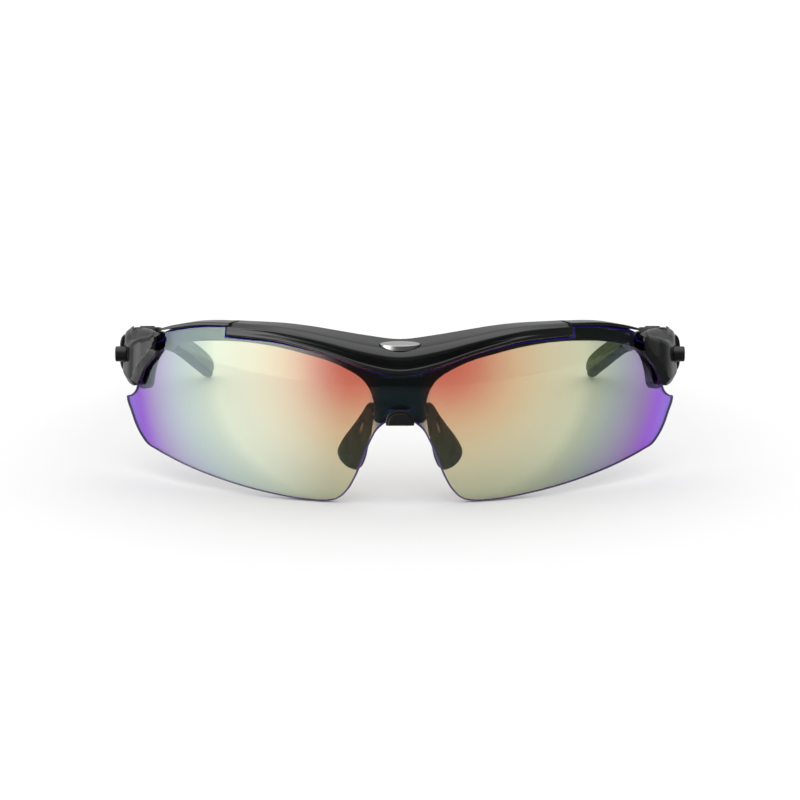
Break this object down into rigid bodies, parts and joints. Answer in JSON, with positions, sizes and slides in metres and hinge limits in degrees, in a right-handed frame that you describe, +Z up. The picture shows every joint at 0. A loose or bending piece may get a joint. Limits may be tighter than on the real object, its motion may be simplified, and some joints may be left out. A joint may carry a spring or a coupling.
{
  "type": "wraparound sport sunglasses",
  "caption": "Half-frame sport sunglasses with a wraparound mirror shield lens, folding side arms, adjustable nose pads and side lens-release buttons.",
  "frame": {"origin": "centre of the footprint, on the table that the lens and the arm tips stand on", "axes": "+Z up, -Y out through the front of the lens, +X to the wearer's left"},
  "size_m": [0.1492, 0.1475, 0.0448],
  "materials": {
    "gloss_black": "polished black nylon",
    "satin_black": "satin black nylon",
    "soft_black": "matt black elastomer",
    "olive_rubber": "dimpled olive elastomer",
    "mirror_lens": "tinted polycarbonate with a red to violet mirror coat",
    "badge_metal": "satin chrome",
    "steel": "stainless steel",
    "brass_insert": "turned brass"
  },
  "bodies": {
    "front": {"frame_front": "gloss_black", "lens_shield": "mirror_lens", "brow_badge": "badge_metal", "nose_clip": "satin_black", "end_cap_left": "gloss_black", "end_cap_screw_left": "steel", "button_spring_left": "steel", "hinge_pin_left": "satin_black", "hinge_washer_left": "steel", "hinge_nut_left": "brass_insert", "end_cap_right": "gloss_black", "end_cap_screw_right": "steel", "button_spring_right": "steel", "hinge_pin_right": "satin_black", "hinge_washer_right": "steel", "hinge_nut_right": "brass_insert"},
    "arm_left": {"temple_arm_left": "gloss_black", "temple_wire_left": "steel", "temple_sleeve_left": "soft_black", "temple_grip_left": "olive_rubber"},
    "button_left": {"release_button_left": "satin_black", "lens_latch_left": "steel"},
    "pad_left": {"nose_wire_left": "steel", "nose_pad_left": "soft_black"},
    "arm_right": {"temple_arm_right": "gloss_black", "temple_wire_right": "steel", "temple_sleeve_right": "soft_black", "temple_grip_right": "olive_rubber"},
    "button_right": {"release_button_right": "satin_black", "lens_latch_right": "steel"},
    "pad_right": {"nose_wire_right": "steel", "nose_pad_right": "soft_black"}
  },
  "joints": [
    {"name": "arm_left_fold", "type": "hinge", "parent": "front", "child": "arm_left", "pos_m": [0.0663, -0.0307, 0.0314], "axis": [0, 0.1994, 0.9799], "range_deg": [0, 88]},
    {"name": "arm_right_fold", "type": "hinge", "parent": "front", "child": "arm_right", "pos_m": [-0.0663, -0.0307, 0.0314], "axis": [0, -0.1994, -0.9799], "range_deg": [0, 78]},
    {"name": "pad_left_bend", "type": "hinge", "parent": "front", "child": "pad_left", "pos_m": [0.0034, -0.0631, 0.0228], "axis": [0, 1, 0], "range_deg": [-8, 5]},
    {"name": "pad_right_bend", "type": "hinge", "parent": "front", "child": "pad_right", "pos_m": [-0.0034, -0.0631, 0.0228], "axis": [0, -1, 0], "range_deg": [-8, 5]},
    {"name": "button_left_press", "type": "slide", "parent": "front", "child": "button_left", "axis": [-1, 0, 0], "range_m": [0, 0.0006], "stiffness_N_per_m": 600, "springref_m": -0.0004, "deforming": ["button_spring_left"]},
    {"name": "button_right_press", "type": "slide", "parent": "front", "child": "button_right", "axis": [1, 0, 0], "range_m": [0, 0.0006], "stiffness_N_per_m": 600, "springref_m": -0.0004, "deforming": ["button_spring_right"]}
  ]
}
